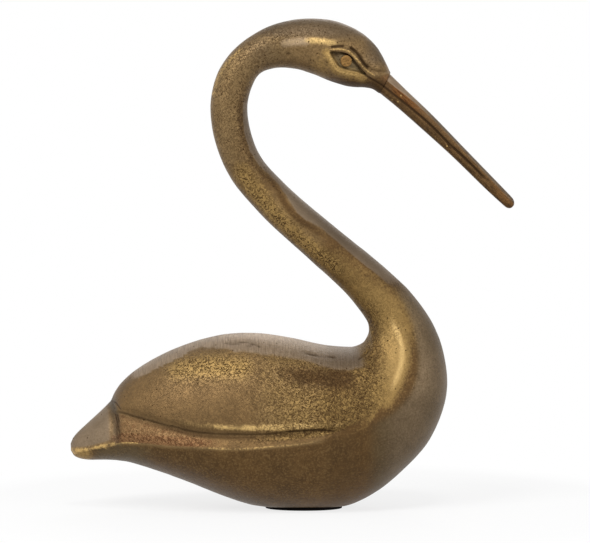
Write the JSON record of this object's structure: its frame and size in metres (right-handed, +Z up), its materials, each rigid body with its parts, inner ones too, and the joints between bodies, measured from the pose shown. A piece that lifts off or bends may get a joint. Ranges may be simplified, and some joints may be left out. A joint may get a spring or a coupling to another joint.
{
  "type": "brass bird figurine",
  "caption": "Sitting long-billed water bird with an S-curved neck, cast in brass as two hollow halves with a fitted bill, eye studs and a felt base pad.",
  "frame": {"origin": "middle of the underside of the base pad, where the figure rests", "axes": "+X from the tail towards the bill, +Z up, -Y out of the bird's right side; the bird's centre plane is XZ"},
  "size_m": [0.1838, 0.0638, 0.2032],
  "materials": {
    "brass_body": "aged sand-cast brass, olive-brown patina, golden where worn",
    "brass_bill": "aged brass, orange-brown",
    "brass_eye": "worn bright brass",
    "pad_felt": "black felt"
  },
  "bodies": {
    "root": {"right_half": "brass_body", "left_half": "brass_body", "bill": "brass_bill", "right_eye_stud": "brass_eye", "left_eye_stud": "brass_eye", "base_pad": "pad_felt"}
  },
  "joints": []
}
